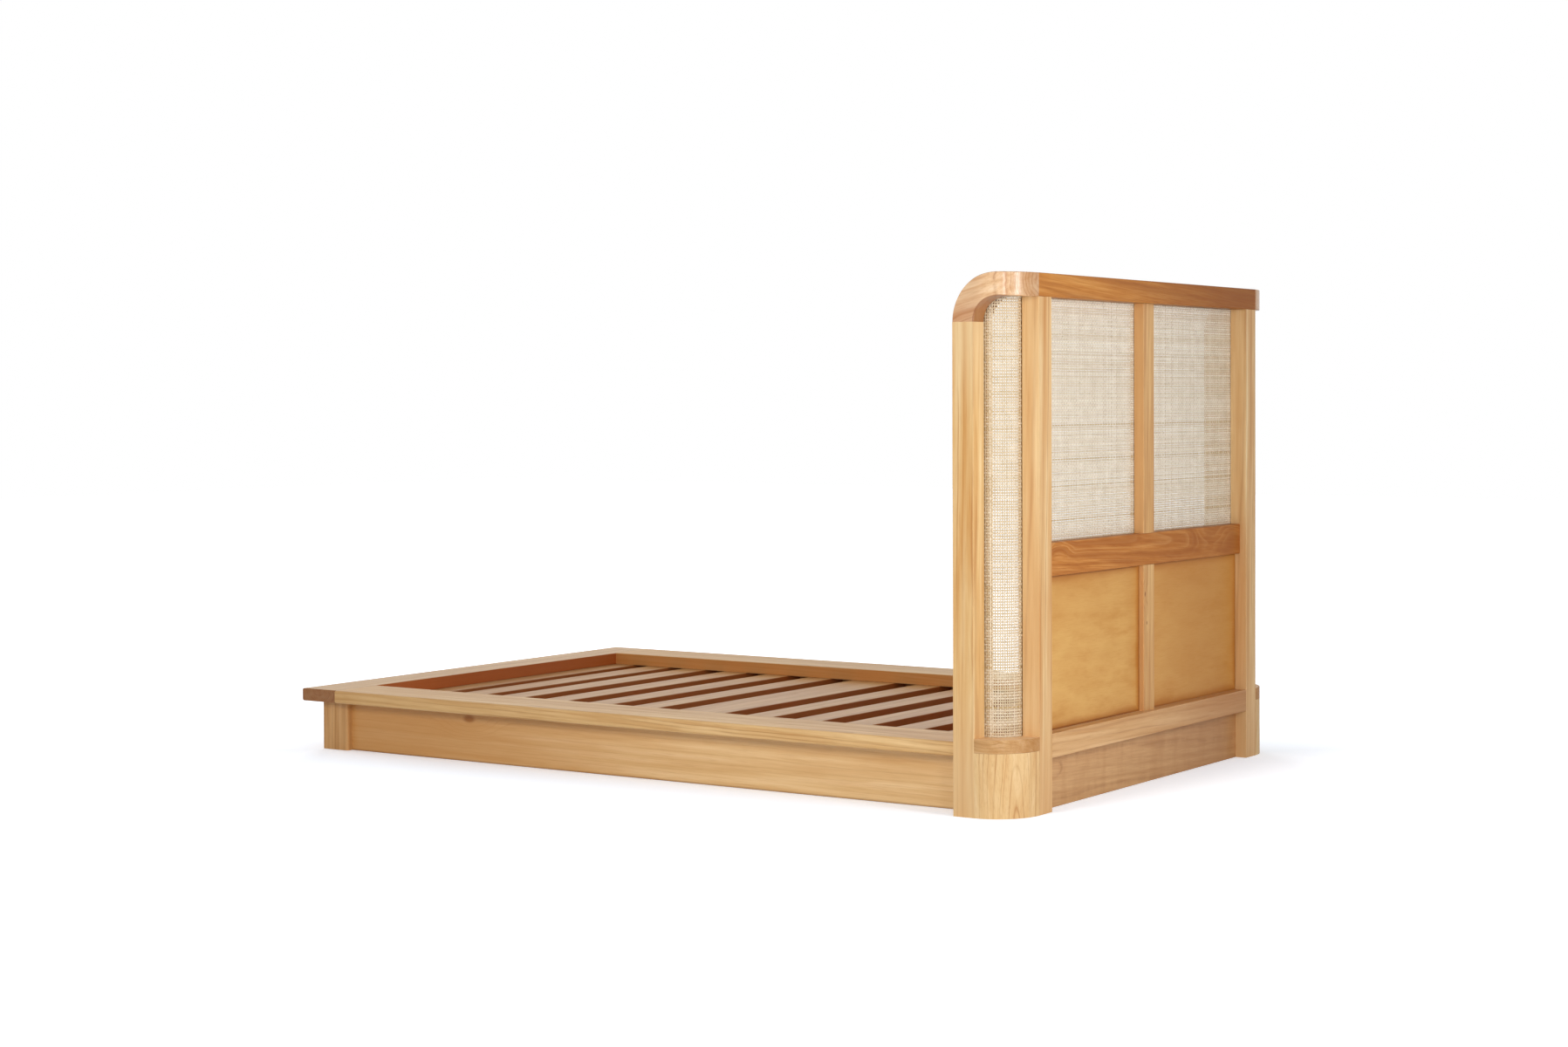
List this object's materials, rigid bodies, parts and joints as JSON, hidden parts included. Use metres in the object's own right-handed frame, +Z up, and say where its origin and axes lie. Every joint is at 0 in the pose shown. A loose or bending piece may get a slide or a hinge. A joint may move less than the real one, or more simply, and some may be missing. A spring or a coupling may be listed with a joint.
{
  "type": "single bed",
  "caption": "Low wooden platform bed with a slatted base and a tall winged headboard with rounded corners and cane panels, made to hold a single mattress.",
  "frame": {"origin": "on the floor, under the middle of the bed's length and width", "axes": "+Z up, +Y towards the headboard, +X to the right when standing at the foot and facing the head"},
  "size_m": [1.23, 2.1, 1.14],
  "materials": {
    "frame_timber": "honey stain, satin lacquer",
    "slat_timber": "planed, thin lacquer",
    "panel_veneer": "honey stain, satin lacquer",
    "cane": "natural woven cane, unlacquered",
    "dowel_wood": "bare beech",
    "steel": "zinc-plated"
  },
  "bodies": {
    "root": {"back_cane_left": "cane", "back_cane_right": "cane", "back_skirt": "frame_timber", "back_stile_left": "frame_timber", "back_stile_right": "frame_timber", "barrel_nuts": "steel", "base_block_left": "frame_timber", "base_block_right": "frame_timber", "base_cap_left": "frame_timber", "base_cap_right": "frame_timber", "bed_bolts": "steel", "bottom_rail": "frame_timber", "centre_beam": "frame_timber", "centre_legs": "frame_timber", "corner_cane_left": "cane", "corner_cane_right": "cane", "foot_ledge": "frame_timber", "foot_leg_left": "frame_timber", "foot_leg_right": "frame_timber", "foot_skirt": "frame_timber", "frame_dowels": "dowel_wood", "head_rail": "frame_timber", "head_slat": "slat_timber", "ledger_screws": "steel", "lower_mullion": "frame_timber", "lower_panel_left": "panel_veneer", "lower_panel_right": "panel_veneer", "mid_rail": "frame_timber", "platform_dowels": "dowel_wood", "side_ledge_left": "frame_timber", "side_ledge_right": "frame_timber", "side_skirt_left": "frame_timber", "side_skirt_right": "frame_timber", "slat_01": "slat_timber", "slat_02": "slat_timber", "slat_03": "slat_timber", "slat_04": "slat_timber", "slat_05": "slat_timber", "slat_06": "slat_timber", "slat_07": "slat_timber", "slat_08": "slat_timber", "slat_09": "slat_timber", "slat_10": "slat_timber", "slat_11": "slat_timber", "slat_12": "slat_timber", "slat_13": "slat_timber", "slat_ledger_left": "frame_timber", "slat_ledger_right": "frame_timber", "slat_screws": "steel", "threaded_inserts": "steel", "top_corner_left": "frame_timber", "top_corner_right": "frame_timber", "top_rail": "frame_timber", "upper_mullion": "frame_timber", "wing_stile_left": "frame_timber", "wing_stile_right": "frame_timber"}
  },
  "joints": []
}
